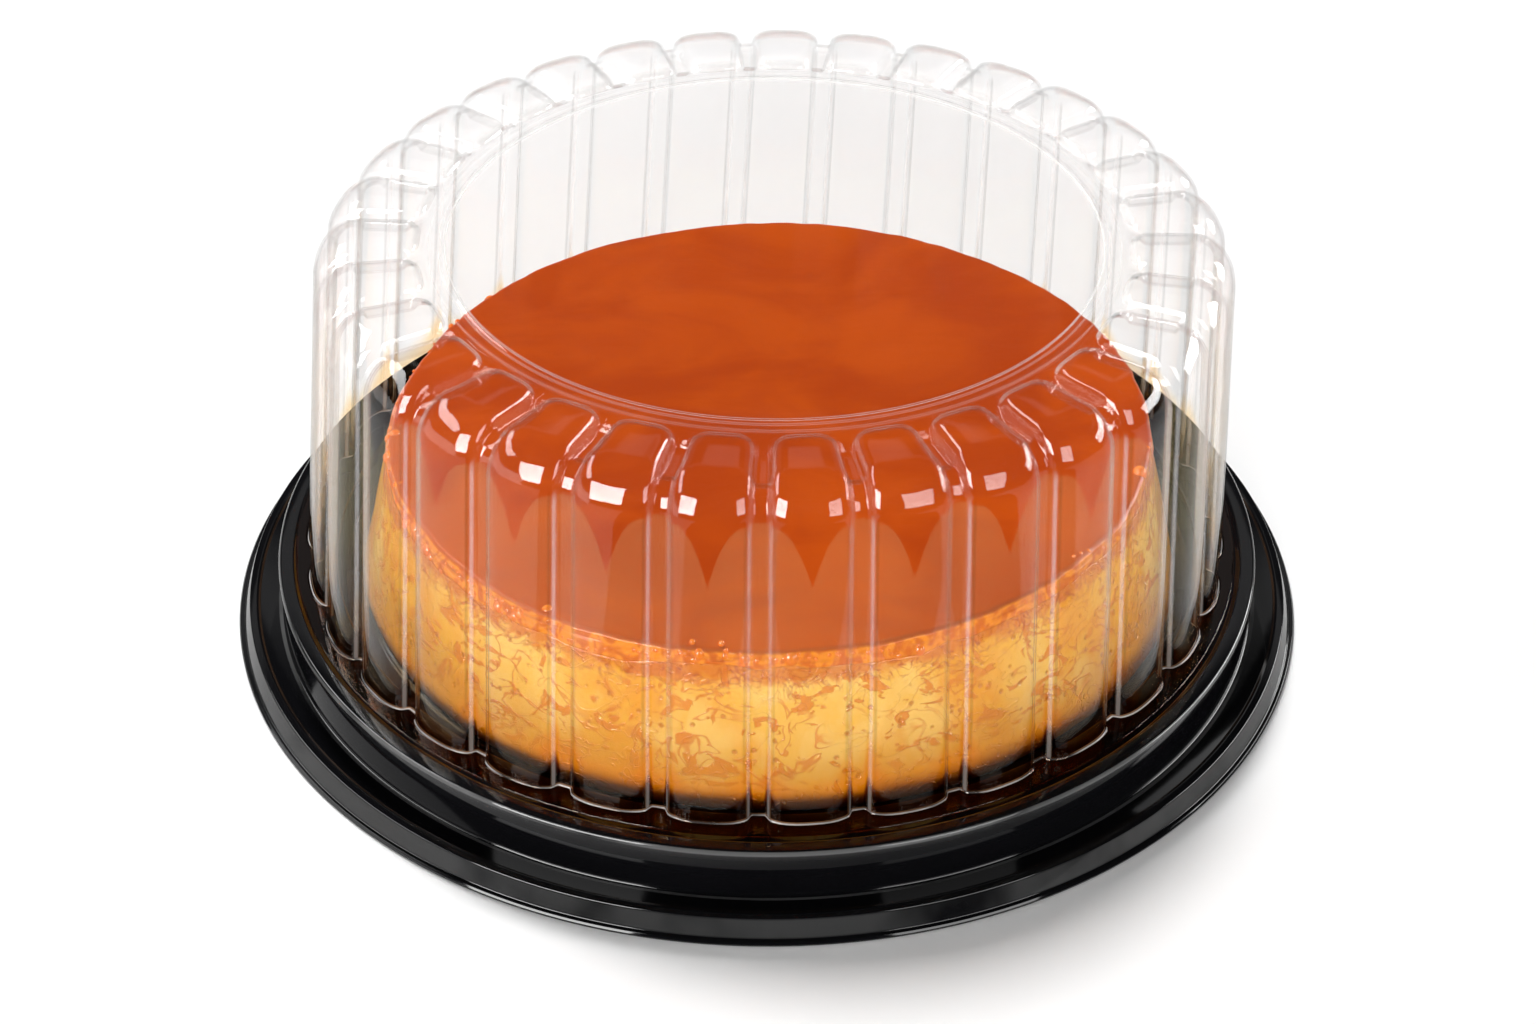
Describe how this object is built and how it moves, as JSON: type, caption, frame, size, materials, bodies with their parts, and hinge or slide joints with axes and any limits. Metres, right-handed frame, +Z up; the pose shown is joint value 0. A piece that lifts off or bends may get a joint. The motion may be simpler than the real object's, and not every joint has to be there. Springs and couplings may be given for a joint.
{
  "type": "leche flan in a lidded tray",
  "caption": "Round caramel-topped custard flan in a black round tray, under a clear fluted dome lid.",
  "frame": {"origin": "on the table, at the centre of the tray's rim", "axes": "+Z up; +X to the right and +Y to the back of the pack as it faces the viewer"},
  "size_m": [0.272, 0.272, 0.1063],
  "materials": {
    "black_plastic": "high gloss",
    "custard": "moist, soft gloss",
    "caramel": "wet gloss",
    "clear_plastic": "clear gloss"
  },
  "bodies": {
    "root": {"tray": "black_plastic", "custard": "custard", "caramel_layer": "caramel", "dome_lid": "clear_plastic"}
  },
  "joints": []
}
